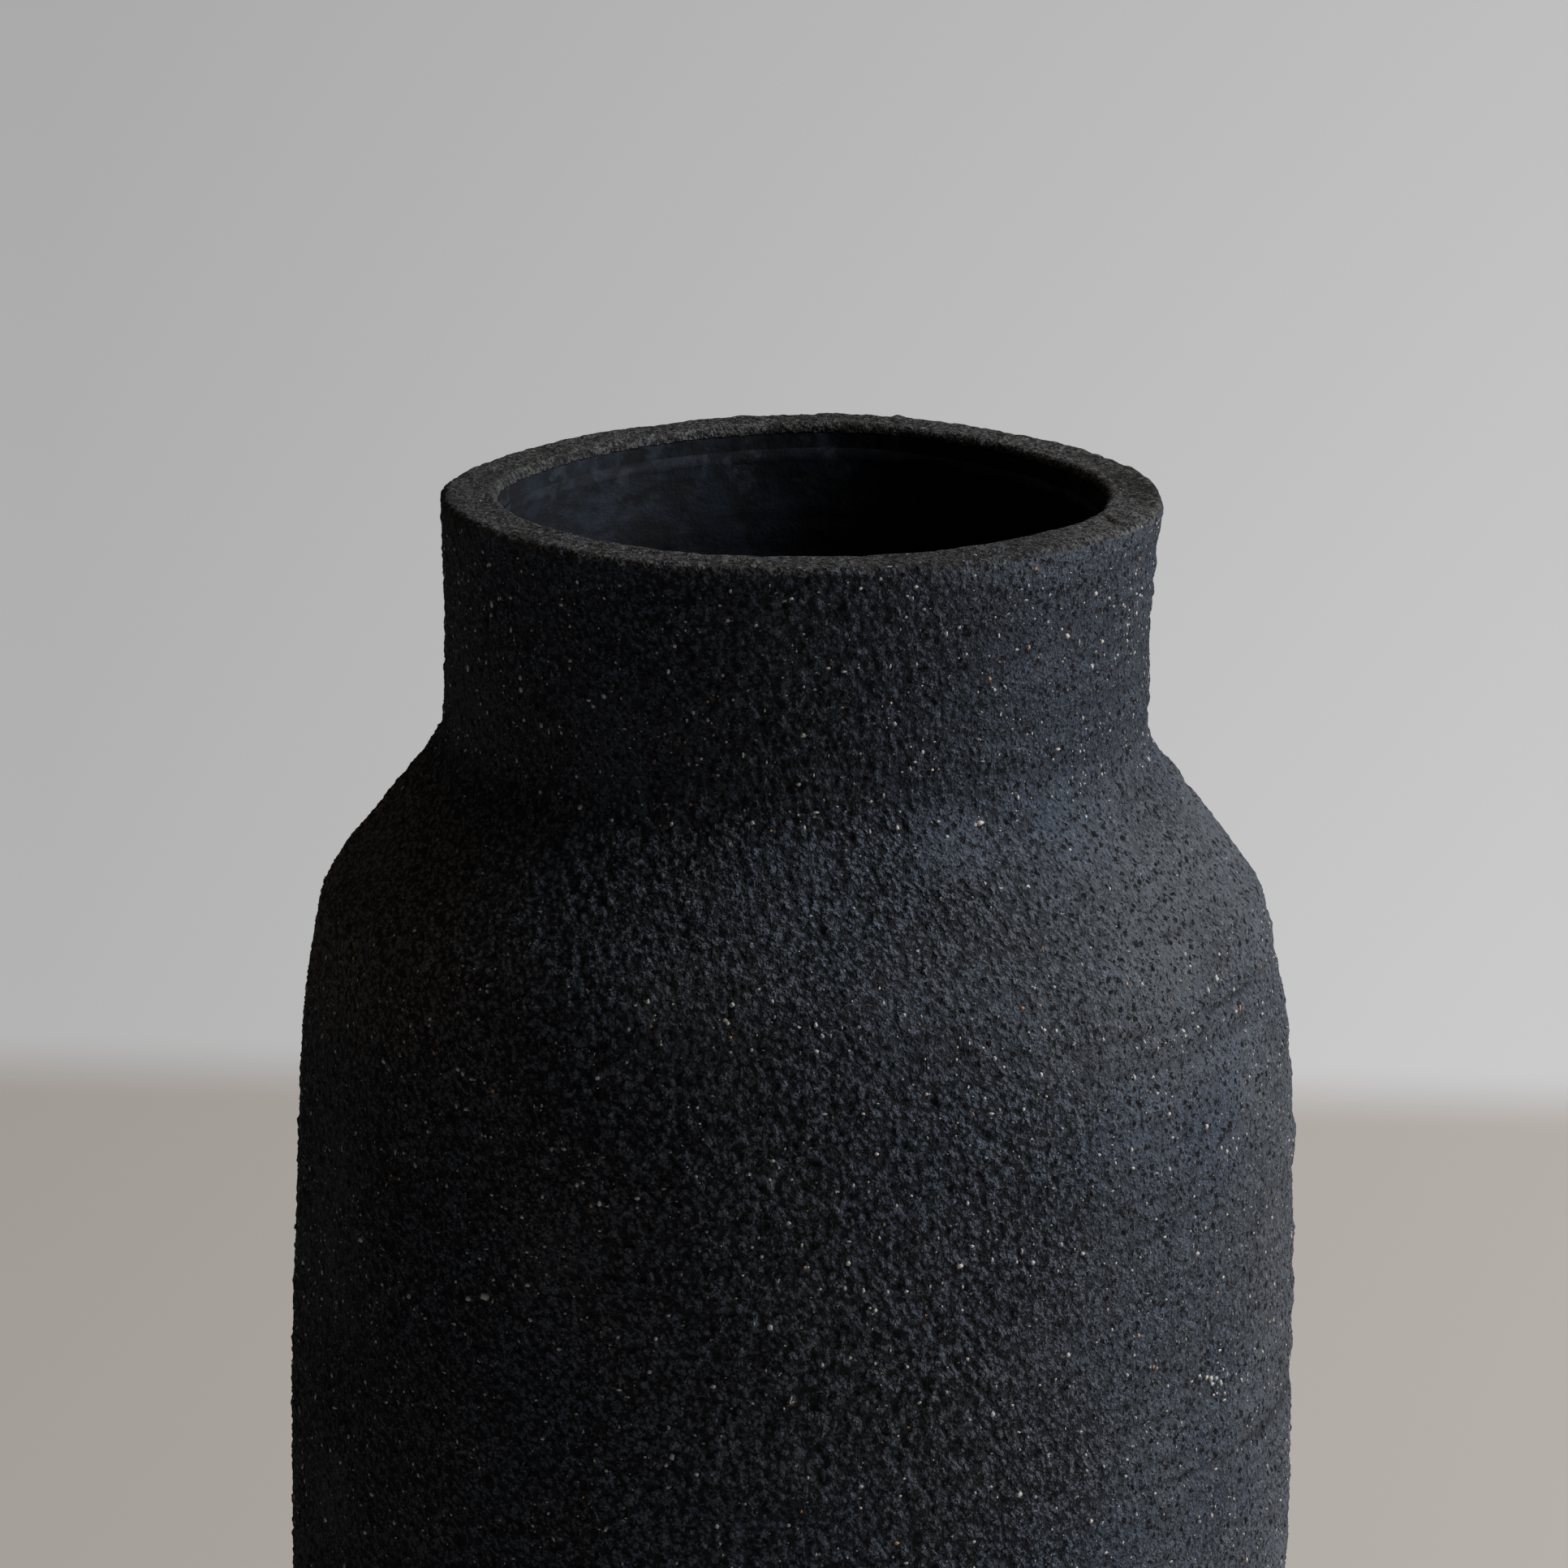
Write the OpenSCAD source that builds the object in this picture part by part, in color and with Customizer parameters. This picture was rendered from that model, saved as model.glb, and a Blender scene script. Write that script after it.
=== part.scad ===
// Wide-necked stoneware vase, built up from clay pieces that are scored, slipped and
// pressed together before firing. Millimetres, +Z up, origin at the centre of the foot.
// Every piece is a solid of revolution about Z.

/* [Overall] */
// Height from the foot to the top of the rim
vase_h = 220; // [212:1:230]
// Diameter of the foot, where it meets the wall
foot_d = 121; // [116:0.5:124]
// Diameter at the belly's corner, before it is eased
belly_d = 130; // [128:0.5:132]
// Diameter where the wall starts to turn in
wall_top_d = 124; // [122:0.5:126]
// Diameter at the edge of the shoulder
shoulder_d = 117; // [114:0.5:118]
// Diameter of the neck
neck_d = 87; // [80:0.5:92]
// Diameter of the rim
rim_d = 89.2; // [88:0.2:95]

/* [Heights] */
// Height of the widest part of the body
belly_z = 76; // [72:1:84]
// Height where the wall starts to turn in
wall_top_z = 153; // [150:1:155]
// Height of the edge of the shoulder
shoulder_z = 170; // [168:1:171]
// Height where the shoulder meets the neck
neck_z = 189; // [186:1:192]
// Height where the neck starts to flare
flare_z = 205; // [201:1:207]

/* [Clay] */
// Thickness of the wall
wall_t = 7; // [6:0.5:8]
// Thickness of the base slab
floor_t = 8; // [6:0.5:10]
// Bevel round the edge of the foot
foot_bevel = 3; // [1:0.5:4]
// Height of each strap of clay in the body wall
course_h = 26; // [25.5:0.1:26]
// Height of the coil that forms the rim
rim_coil_h = 8; // [6:0.5:9]
// Radius of the coil pressed into the corner between floor and wall
base_coil_r = 9; // [6:0.5:12]
// Radius of the clay worked into the corner between shoulder and neck
neck_lute_r = 7; // [5:0.5:9]
// Thickness of the slip coat inside
liner_t = 0.5; // [0.4:0.1:0.8]
// Bare clay between the slip coat and the top of the rim
bare_rim_h = 3; // [2:0.5:5]

/* [Joints] */
// Height of the ridge on each joint, and depth of the groove that takes it
ridge_h = 1.5; // [1:0.25:2]
// Width of that ridge
ridge_w = 3; // [2:0.25:4]

/* [Hidden] */
$fn = 180;

course_count = 6;
seam_z = floor_t + course_count * course_h; // where the shoulder sits on the wall
rim_seam_z = vase_h - rim_coil_h;           // where the rim coil sits on the neck
outside = belly_d;                          // any radius beyond the vase
above = vase_h + floor_t;                   // any height beyond the vase

// Radii that round the corners of the outline
belly_round = 1200;
wall_top_round = 90;
shoulder_round = 8;
flare_round = 200;
rim_edge_round = 1;
shoulder_inside_round = 4;
neck_inside_round = 6;

// Degrees of arc for each step along a rounded corner
arc_step = 7;
// Fewest steps along a rounded corner
min_steps = 4;

wall_clay = [0.12, 0.13, 0.15];
rim_clay = [0.17, 0.165, 0.16];
slip_blue = [0.11, 0.13, 0.19];

function unit(v) = v / norm(v);

// Points round a corner that is eased with an arc of the given radius
function corner_arc(before, corner, after, radius) =
    let (
        back = unit(before - corner),
        on = unit(after - corner),
        half = acos(back * on) / 2,
        centre = corner + unit(back + on) * radius / sin(half),
        start = corner + back * radius / tan(half) - centre,
        finish = corner + on * radius / tan(half) - centre,
        first = atan2(start.y, start.x),
        swing = atan2(finish.y, finish.x) - first,
        turn = swing > 180 ? swing - 360 : swing < -180 ? swing + 360 : swing,
        steps = max(min_steps, ceil(abs(turn) / arc_step))
    )
    [for (i = [0:steps]) centre + radius * [cos(first + turn * i / steps), sin(first + turn * i / steps)]];

// Outline through corners [r, z, radius], each one eased by its own radius
function rounded(corners) =
    let (
        n = len(corners),
        at = [for (c = corners) [c[0], c[1]]]
    )
    [
        for (i = [0:n - 1])
            each corners[i][2] > 0
                ? corner_arc(at[(i + n - 1) % n], at[i], at[(i + 1) % n], corners[i][2])
                : [at[i]]
    ];

// Corners of the outside, from the foot up to the rim
profile = [
    [foot_d / 2, foot_bevel],
    [belly_d / 2, belly_z],
    [wall_top_d / 2, wall_top_z],
    [shoulder_d / 2, shoulder_z],
    [neck_d / 2, neck_z],
    [neck_d / 2, flare_z],
    [rim_d / 2, vase_h]
];

// Corner i of the profile, moved into the clay by depth
function sunk(i, depth) =
    let (
        up_1 = unit(profile[i] - profile[i - 1]),
        up_2 = unit(profile[i + 1] - profile[i]),
        in_1 = [-up_1.y, up_1.x],
        in_2 = [-up_2.y, up_2.x]
    )
    profile[i] + depth * (in_1 + in_2) / (1 + in_1 * in_2);

// Radius of the wall's own line at the floor, moved into the clay by depth
function floor_r(depth) =
    lookup(floor_t, [[foot_bevel, foot_d / 2], [belly_z, belly_d / 2]]) - depth;

// Clay worked into the corner at [r, z], between the lines to the corners before and after it
module corner_fill(before, corner, after, radius) {
    polygon(concat([corner], corner_arc(before, corner, after, radius)));
}

// The solid block of the outside
module outside_shape() {
    polygon(rounded([
        [0, 0, 0],
        [foot_d / 2 - foot_bevel, 0, 0],
        concat(profile[0], 0),
        concat(profile[1], belly_round),
        concat(profile[2], wall_top_round),
        concat(profile[3], shoulder_round),
        concat(profile[4], 0),
        concat(profile[5], flare_round),
        concat(profile[6], rim_edge_round),
        [0, vase_h, 0]
    ]));
}

// The hollow inside, its walls sunk by depth, with the floor corner eased by floor_round
module hollow_shape(depth, floor_z, floor_round) {
    polygon(rounded([
        [0, floor_z, 0],
        [floor_r(depth), floor_z, floor_round],
        concat(sunk(1, depth), belly_round - depth),
        concat(sunk(2, depth), wall_top_round - depth),
        concat(sunk(3, depth), shoulder_inside_round),
        concat(sunk(4, depth), neck_inside_round),
        concat(sunk(5, depth), flare_round + depth),
        [rim_d / 2 - depth, vase_h, rim_edge_round],
        [outside, vase_h, 0],
        [outside, above, 0],
        [0, above, 0]
    ]));
}

module clay_shape() {
    difference() {
        outside_shape();
        hollow_shape(wall_t, floor_t, 0);
    }
}

// Radius of the middle of the wall at a height
function mid_r(z) = lookup(z, [for (p = profile) [p.y, p.x]]) - wall_t / 2;

// Everything below a joint: flat at z, with the ridge that stands up into the piece above
module below(z) {
    polygon([
        [0, -above],
        [outside, -above],
        [outside, z],
        [mid_r(z) + ridge_w / 2, z],
        [mid_r(z), z + ridge_h],
        [mid_r(z) - ridge_w / 2, z],
        [0, z]
    ]);
}

// One section of the vase, between two joints
module section(from_z, to_z) {
    rotate_extrude()
        difference() {
            intersection() {
                clay_shape();
                below(to_z);
            }
            below(from_z);
        }
}

module base_slab() {
    color(wall_clay)
        rotate_extrude()
            intersection() {
                clay_shape();
                below(floor_t);
            }
}

module base_coil() {
    color(wall_clay)
        rotate_extrude()
            corner_fill([0, floor_t], [floor_r(wall_t), floor_t], sunk(1, wall_t), base_coil_r);
}

module wall_course(number) {
    color(wall_clay)
        section(floor_t + (number - 1) * course_h, floor_t + number * course_h);
}

module shoulder() {
    color(wall_clay)
        section(seam_z, neck_z);
}

module neck_lute() {
    color(wall_clay)
        rotate_extrude()
            corner_fill(profile[3], profile[4], profile[5], neck_lute_r);
}

module neck_collar() {
    color(wall_clay)
        section(neck_z, rim_seam_z);
}

module rim_coil() {
    color(rim_clay)
        rotate_extrude()
            difference() {
                clay_shape();
                below(rim_seam_z);
            }
}

module inner_liner() {
    color(slip_blue)
        rotate_extrude()
            intersection() {
                difference() {
                    hollow_shape(wall_t, floor_t, base_coil_r);
                    hollow_shape(wall_t + liner_t, floor_t + liner_t, base_coil_r - liner_t);
                }
                square([outside, vase_h - bare_rim_h]);
            }
}

base_slab();
base_coil();
for (number = [1:course_count])
    wall_course(number);
shoulder();
neck_lute();
neck_collar();
rim_coil();
inner_liner();
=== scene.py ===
"""A dark stoneware vase standing on a pale floor.

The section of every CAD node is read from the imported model, resampled and turned about the axis again as
a dense mesh. One height field of place, clay_relief(), raises the skin of all the clay pieces, so their
seams still meet. Lengths are in millimetres until a mesh is made. Azimuth 0 is the side that faces the
camera, and azimuths grow towards +X.
"""
import math

import bmesh
import bpy
import numpy as np
from mathutils import Matrix, Vector


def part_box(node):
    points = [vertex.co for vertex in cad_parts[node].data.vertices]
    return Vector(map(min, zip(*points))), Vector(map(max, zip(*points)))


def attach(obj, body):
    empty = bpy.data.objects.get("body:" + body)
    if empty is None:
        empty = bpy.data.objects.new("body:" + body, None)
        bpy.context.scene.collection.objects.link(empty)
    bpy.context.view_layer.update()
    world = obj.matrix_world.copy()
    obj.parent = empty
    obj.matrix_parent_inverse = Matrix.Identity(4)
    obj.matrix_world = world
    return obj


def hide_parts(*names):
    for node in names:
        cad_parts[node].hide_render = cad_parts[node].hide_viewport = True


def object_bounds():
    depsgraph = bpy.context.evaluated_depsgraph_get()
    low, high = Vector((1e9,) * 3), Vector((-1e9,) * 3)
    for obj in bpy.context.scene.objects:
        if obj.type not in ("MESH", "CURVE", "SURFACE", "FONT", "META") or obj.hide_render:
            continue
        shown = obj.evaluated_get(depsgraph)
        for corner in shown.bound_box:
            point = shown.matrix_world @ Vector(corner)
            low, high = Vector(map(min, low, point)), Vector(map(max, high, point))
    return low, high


MM = 0.001
TURN = 2 * math.pi

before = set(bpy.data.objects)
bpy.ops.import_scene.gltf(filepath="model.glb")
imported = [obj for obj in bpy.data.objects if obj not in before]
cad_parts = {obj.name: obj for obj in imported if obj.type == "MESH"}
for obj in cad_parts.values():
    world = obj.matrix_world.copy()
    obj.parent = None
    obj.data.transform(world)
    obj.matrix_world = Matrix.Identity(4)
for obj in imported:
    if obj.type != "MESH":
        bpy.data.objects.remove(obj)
cad_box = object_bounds()

RIM_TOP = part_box("rim_coil")[1].z / MM
FLOOR_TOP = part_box("base_slab")[1].z / MM
NECK_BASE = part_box("neck_collar")[0].z / MM
SHOULDER_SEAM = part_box("shoulder")[0].z / MM
SLIP_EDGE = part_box("inner_liner")[1].z / MM
BELLY_RADIUS = cad_box[1].x / MM
RIM_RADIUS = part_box("rim_coil")[1].x / MM

CLAY_NODES = ["base_slab"] + [f"wall_course_{i}" for i in range(1, 7)]
CLAY_NODES += ["shoulder", "neck_lute", "neck_collar", "rim_coil"]
OVERLAY = "neck_lute"  # lies on the skins of its neighbours and fades out on them
SLOTS = {"base_slab": "foot_clay", "rim_coil": "rim_clay"}  # all other clay is black_stoneware

COLUMNS = 1080      # columns of vertices round the clay
SLIP_COLUMNS = 720  # columns of vertices round the slip coat
COIL_COLUMNS = 240  # columns of vertices round the coil in the corner at the floor
SKIN_ROW = 0.37     # height of a row of faces on the outside
HIDDEN_ROW = 3.0    # the same where another piece covers the surface
FOOT_ROW = 2.5      # the same under the foot
MOUTH_ROW = 0.5     # the same inside the neck
INSIDE_ROW = 1.6    # the same in the dark below the neck


# ---- noise

def hashed(cell, seed):
    """A repeatable random number from 0 to 1 for each whole-number cell of an array (..., 3)."""
    x, y, z = (cell[..., i].astype(np.int64).astype(np.uint32) for i in range(3))
    h = x * np.uint32(0x8DA6B343) ^ y * np.uint32(0xD8163841) ^ z * np.uint32(0xCB1AB31F)
    h ^= np.uint32((seed * 0x9E3779B1) & 0xFFFFFFFF)
    h ^= h >> np.uint32(15)
    h *= np.uint32(0x2C1B3C6D)
    h ^= h >> np.uint32(12)
    h *= np.uint32(0x297A2D39)
    h ^= h >> np.uint32(15)
    return (h / np.float32(2 ** 32)).astype(np.float32)


def noise(p, seed):
    """A smooth random field from -1 to 1, with features about one unit across, at points (..., 3)."""
    low = np.floor(p)
    part = (p - low).astype(np.float32)
    ease = part * part * part * (part * (part * 6 - 15) + 10)
    total = np.zeros(p.shape[:-1], np.float32)
    for corner in np.ndindex(2, 2, 2):
        weight = np.ones(p.shape[:-1], np.float32)
        for axis in range(3):
            weight = weight * (ease[..., axis] if corner[axis] else 1 - ease[..., axis])
        total += weight * hashed(low + np.array(corner), seed)
    return total * 2 - 1


def layered(p, seed):
    """Noise with two finer and weaker layers added."""
    return (noise(p, seed) + noise(p * 2 + 17.3, seed + 1) / 2 + noise(p * 4 + 34.6, seed + 2) / 4) / 1.75


def nearest_grain(p, seed):
    """Distance from each point to the nearest of random points, one in each unit cell, and a random
    number from 0 to 1 that belongs to that nearest point."""
    low = np.floor(p)
    best = np.full(p.shape[:-1], 9, np.float32)
    number = np.zeros(p.shape[:-1], np.float32)
    for offset in np.ndindex(3, 3, 3):
        cell = low + np.array(offset) - 1
        centre = np.stack([hashed(cell, seed + i) for i in range(3)], -1) + cell
        distance = np.sqrt(((p - centre) ** 2).sum(-1)).astype(np.float32)
        closer = distance < best
        best = np.where(closer, distance, best)
        number = np.where(closer, hashed(cell, seed + 3), number)
    return best, number


def smooth(low, high, value):
    """0 on the far side of low, 1 on the far side of high, and an even ease between them."""
    t = np.clip((value - low) / (high - low), 0, 1)
    return t * t * (3 - 2 * t)


def bell(distance):
    """1 at distance 0, easing to 0 at distance 1 and beyond."""
    return 1 - smooth(0, 1, np.abs(distance))


def turn_between(azimuth, centre):
    """Degrees from centre to azimuth, the short way round."""
    return (np.degrees(azimuth) - centre + 180) % 360 - 180


def lengths(vectors):
    """The length of each vector of an array (..., n)."""
    return np.linalg.norm(vectors, axis=-1)


def unit(vectors):
    """The vectors of an array (..., n), each brought to length 1."""
    return vectors / np.maximum(lengths(vectors), 1e-9)[..., None]


# ---- sections of the CAD nodes

def section(node):
    """Outline of a CAD node cut through its axis, as points (radius, height), anticlockwise, and whether
    it closes. The outline of a ring closes. That of a disc starts and ends on the axis."""
    cut = bmesh.new()
    cut.from_mesh(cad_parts[node].data)
    bmesh.ops.remove_doubles(cut, verts=cut.verts, dist=1e-7)
    everything = cut.verts[:] + cut.edges[:] + cut.faces[:]
    bmesh.ops.bisect_plane(
        cut, geom=everything, dist=1e-7,
        plane_co=(0, 0, 0), plane_no=(0, 1, 0), clear_inner=True, clear_outer=True,
    )
    first = max(cut.verts, key=lambda v: v.co.x)
    walked, edge = [first], first.link_edges[0]
    while True:
        following = edge.other_vert(walked[-1])
        if following is first:
            break
        walked.append(following)
        edge = next(e for e in following.link_edges if e is not edge)
    points = np.array([(v.co.x / MM, v.co.z / MM) for v in walked])
    cut.free()
    closed = points[:, 0].min() > 0
    if not closed:
        start = int(np.argmin(points[:, 0]))
        points = np.roll(points, -start, axis=0)
        points = points[points[:, 0] > 0]
        points = np.vstack([(0, points[0, 1]), points, (0, points[-1, 1])])
    following = np.roll(points, -1, axis=0)
    area = (points[:, 0] * following[:, 1] - following[:, 0] * points[:, 1]).sum() / 2
    return (points if area > 0 else points[::-1]), closed


def inside(point, outline):
    """Whether a point lies inside an outline."""
    a, b = outline, np.roll(outline, -1, axis=0)
    spans = (a[:, 1] > point[1]) != (b[:, 1] > point[1])
    rise = np.where(spans, b[:, 1] - a[:, 1], 1)
    crossing = a[:, 0] + (point[1] - a[:, 1]) * (b[:, 0] - a[:, 0]) / rise
    return bool((spans & (crossing > point[0])).sum() % 2)


SECTIONS = {node: section(node) for node in CLAY_NODES + ["base_coil", "inner_liner"]}
PROBE = 0.15  # how far outside an edge of a section to look for another piece


def is_covered(node, middle, outward):
    """Whether another piece lies against this piece at a point of its outline."""
    probe = middle + outward * PROBE
    others = [outline for other, (outline, _) in SECTIONS.items() if other not in (node, OVERLAY)]
    return any(inside(probe, outline) for outline in others)


def row_height(covered, middle, outward):
    """How far apart the rows of vertices may be at a point of an outline."""
    if covered:
        return HIDDEN_ROW
    if outward[1] < -0.9:
        return FOOT_ROW
    if outward[0] < 0.3 and middle[1] < RIM_TOP - 10:
        return MOUTH_ROW if middle[1] > SHOULDER_SEAM else INSIDE_ROW
    return SKIN_ROW


def resampled(node):
    """The outline of a node with points close enough together for its surface, whether each is on show,
    and whether the outline closes. A closed outline starts where the part on show starts."""
    outline, closed = SECTIONS[node]
    following = np.roll(outline, -1, axis=0)
    count = len(outline) if closed else len(outline) - 1
    points, shown_after = [], []
    since = 0.0
    for start, end in zip(outline[:count], following[:count]):
        length = np.linalg.norm(end - start)
        outward = np.array([end[1] - start[1], start[0] - end[0]]) / max(length, 1e-9)
        steps = max(1, round(length / SKIN_ROW))
        for i in range(steps):
            middle = start + (end - start) * (i + 0.5) / steps
            covered = is_covered(node, middle, outward)
            turns_corner = i == 0 or covered == shown_after[-1]
            if turns_corner or since >= row_height(covered, middle, outward) - SKIN_ROW / 2:
                points.append(start + (end - start) * i / steps)
                shown_after.append(not covered)
                since = 0.0
            since += length / steps
    points, shown_after = np.array(points), np.array(shown_after)
    if closed and shown_after.any() and not shown_after.all():
        first = int(np.nonzero(shown_after & ~np.roll(shown_after, 1))[0][0])
        points, shown_after = np.roll(points, -first, axis=0), np.roll(shown_after, -first)
    if not closed:
        points = np.vstack([points, outline[-1]])
        shown_after = np.append(shown_after, shown_after[-1])
    return points, shown_after | np.roll(shown_after, 1), closed


def radii_at(height):
    """Inner and outer radius of the clay wall at a height."""
    crossings = []
    for node in CLAY_NODES:
        a = SECTIONS[node][0]
        b = np.roll(a, -1, axis=0)
        spans = (a[:, 1] > height) != (b[:, 1] > height)
        for (r1, z1), (r2, z2) in zip(a[spans], b[spans]):
            crossings.append(r1 + (height - z1) * (r2 - r1) / (z2 - z1))
    return min(crossings), max(crossings)


WALL_STEP = 0.5  # height from one sample of the wall to the next
FLOOR_POINTS = 120

NECK_WALL = radii_at(NECK_BASE + 10)
WALL_HALF = (NECK_WALL[1] - NECK_WALL[0]) / 2
WALL_HEIGHTS = np.arange(FLOOR_TOP + 0.35, RIM_TOP - WALL_HALF, WALL_STEP)
WALL_RADII = np.array([radii_at(z) for z in WALL_HEIGHTS])

# The line through the middle of the clay: along the floor, then up the wall
FLOOR_LINE = np.linspace(0, WALL_RADII[0].mean(), FLOOR_POINTS)
MIDDLE_LINE = np.vstack([
    np.column_stack([FLOOR_LINE, np.full(FLOOR_POINTS, FLOOR_TOP / 2)]),
    np.column_stack([WALL_RADII.mean(1), WALL_HEIGHTS]),
])

# Rounds the outline's flats: how far the eased wall stands outside the faceted one
EASE_SPAN = 4.0
EASE_STEPS = int(EASE_SPAN / WALL_STEP)
EASE_WEIGHTS = np.hanning(2 * EASE_STEPS + 3)[1:-1]
EASE_WEIGHTS /= EASE_WEIGHTS.sum()
PADDED_WALL = np.pad(WALL_RADII[:, 1], EASE_STEPS, mode="edge")
EASED = np.convolve(PADDED_WALL, EASE_WEIGHTS, mode="valid") - WALL_RADII[:, 1]


def outer_radius(height):
    """Radius of the outside at a height."""
    return np.interp(height, WALL_HEIGHTS, WALL_RADII[:, 1])


def away_from_middle(points):
    """For points (radius, height): the way out of the clay there, and how near the skin each point is,
    from 0 to 1."""
    offset = points[:, None, :] - MIDDLE_LINE[None, :, :]
    distance = lengths(offset)
    near = distance.argmin(1)
    each = np.arange(len(points))
    out = offset[each, near] / np.maximum(distance[each, near], 1e-6)[:, None]
    return out, smooth(0.25, 1, distance[each, near] / WALL_HALF)


# ---- the shape of the clay

# How far the axis leans sideways: (height, millimetres towards +X)
LEAN = [(0, 0), (60, 0.1), (95, 0.15), (142, 0.4), (170, -0.3), (190, -0.05), (205, -0.05), (220, 0.3)]

# Low rings left by the joints and the potter's hands:
# (height, half width, rise, azimuth, half spread in degrees)
RINGS = [
    (187.5, 2.6, -0.20, 96, 32), (183.5, 2.0, 0.28, 92, 24),
    (164.5, 0.8, 0.36, 54, 42), (163.2, 0.7, -0.30, 56, 40), (161.8, 0.7, 0.30, 58, 38),
    (159.6, 1.5, -0.28, 64, 42), (157.2, 2.0, 0.26, 84, 34),
    (139.2, 2.6, 0.32, 88, 34), (135.0, 1.8, -0.22, 80, 36), (131.0, 6.0, -0.25, 86, 44),
    (123.0, 2.0, -0.18, 84, 40), (115.0, 2.4, -0.16, 76, 40), (109.0, 8.0, -0.40, 86, 44),
    # at the back and low down
    (190.5, 2.5, -0.15, 200, 110), (138.0, 4.0, 0.15, 220, 120), (112.0, 5.0, 0.18, 160, 110),
    (86.0, 4.5, 0.18, 60, 150), (60.0, 4.5, 0.20, 250, 150), (34.0, 4.0, 0.16, 20, 170),
]

# Dents and lumps: (height, azimuth, radius, rise)
LUMPS = [
    (186.0, 24, 9.0, 0.25), (181.0, 33, 5.0, -0.30), (184.5, 27, 1.6, 0.35), (176.0, 12, 6.0, 0.20),
    (170.0, -8, 7.0, 0.28), (163.0, 14, 6.0, -0.22), (150.0, -22, 8.0, 0.20), (147.0, 12, 5.0, 0.22),
    (128.0, 36, 7.0, -0.25), (117.0, 54, 3.0, -0.20), (203.5, 73, 0.8, -1.00), (196.0, 8, 5.0, -0.18),
    (100.0, -30, 9.0, 0.25), (92.0, 140, 10.0, -0.25), (70.0, 200, 9.0, 0.25), (150.0, 170, 9.0, 0.22),
]

# Where the top of the rim dips or rises: (azimuth, half spread in degrees, rise)
RIM_WAVES = [(-122, 52, -0.95), (166, 34, 0.60), (121, 24, -0.35), (6, 40, 0.42), (46, 38, 0.48)]

SMEAR_HEIGHT, SMEAR_AZIMUTH, SMEAR_RADIUS = 186.0, 24, 9.0
CHIP_AZIMUTH, CHIP_RADIUS, CHIP_DEPTH = 16.8, 1.6, 0.7
LAP_AZIMUTH = 66.0  # where the ends of the rim coil lap


def place(height, azimuth_degrees, radius=None):
    """The point on the outside at a height and azimuth."""
    a = math.radians(azimuth_degrees)
    r = outer_radius(height) if radius is None else radius
    return np.array([r * math.sin(a), -r * math.cos(a), height])


def wander(points, azimuth):
    """How far the whole wall strays from a true turned shape: outward, towards +X and upward."""
    height = points[..., 2]
    steady = smooth(2, 30, height)
    outward = steady * (0.22 * noise(points / 48, 11) + 0.10 * noise(points / 19, 12))
    rim = smooth(NECK_BASE, RIM_TOP, height)
    outward -= rim * 0.40 * bell(turn_between(azimuth, -115) / 55)
    outward += rim * 0.15 * bell(turn_between(azimuth, 70) / 50)
    heights, shifts = zip(*LEAN)
    sideways = np.interp(height, heights, shifts)
    flat = points * np.array([1, 1, 0])
    waves = 0.22 * noise(flat / 21, 13)
    for centre, spread, rise in RIM_WAVES:
        waves = waves + rise * bell(turn_between(azimuth, centre) / spread)
    upward = smooth(RIM_TOP - 20, RIM_TOP, height) * waves
    return outward, sideways, upward


def stamps(count, smallest, largest, seed):
    """Random places on the outside: their centres, azimuths and radii, always the same for a seed."""
    random = np.random.default_rng(seed)
    heights = random.uniform(1, RIM_TOP - 1.5, count)
    turns = random.uniform(0, 360, count)
    sizes = smallest + (largest - smallest) * random.random(count) ** 2.2
    return [(place(h, a), math.radians(a), size) for h, a, size in zip(heights, turns, sizes)]


PITS = stamps(3000, 0.35, 0.85, 21)
NUBS = stamps(6500, 0.38, 0.95, 22)


def press(height_field, points, azimuth, marks, rise):
    """Adds a bell-shaped mark of the given rise, as a share of its radius, at each place."""
    row_height = points[:, 0, 2]
    row_radius = np.hypot(points[:, 0, 0], points[:, 0, 1])
    columns = points.shape[1]
    step = TURN / columns
    for centre, turn, size in marks:
        if centre[2] < row_height.min() - size or centre[2] > row_height.max() + size:
            continue
        radius = math.hypot(centre[0], centre[1])
        beside = (np.abs(row_height - centre[2]) < size) & (np.abs(row_radius - radius) < size + 1)
        rows = np.nonzero(beside)[0]
        if len(rows) == 0:
            continue
        middle = round((turn - azimuth[0]) / step)
        reach = int(size / radius / step) + 1
        near = np.arange(middle - reach, middle + reach + 1) % columns
        block = points[np.ix_(rows, near)]
        distance = lengths(block - centre) / size
        height_field[np.ix_(rows, near)] += rise * size * bell(distance)


def wheel_share(points, turns):
    """How much the level rings of the wheel show, from 0 to 1: on the right, and in patches at the back."""
    turn = turn_between(turns, 0)
    right = smooth(12, 48, turn) * (1 - smooth(115, 160, turn))
    patches = smooth(-0.1, 0.5, noise(points / 60, 31)) * bell(turn_between(turns, 205) / 100)
    return np.clip(right + 0.8 * patches, 0, 1)


def combing(points, turns):
    """Diagonal combing over the front, drawn down to the right by a soft rib."""
    height = points[..., 2]
    round_wall = (turns - TURN * np.round(turns / TURN)) * BELLY_RADIUS
    tilt = math.radians(56)
    down = round_wall * math.cos(tilt) - height * math.sin(tilt)
    across = round_wall * math.sin(tilt) + height * math.cos(tilt)
    bent = across + 0.7 * noise(points / 7, 32)
    narrow = noise(np.stack([down / 1.3, bent / 0.52, height * 0], -1), 33)
    wide = noise(np.stack([down / 2.6, bent / 1.0, height * 0 + 5], -1), 34)
    front = 1 - smooth(100, 140, np.abs(turn_between(turns, 0)))
    return front * (0.75 * narrow + 0.25 * wide)


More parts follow.
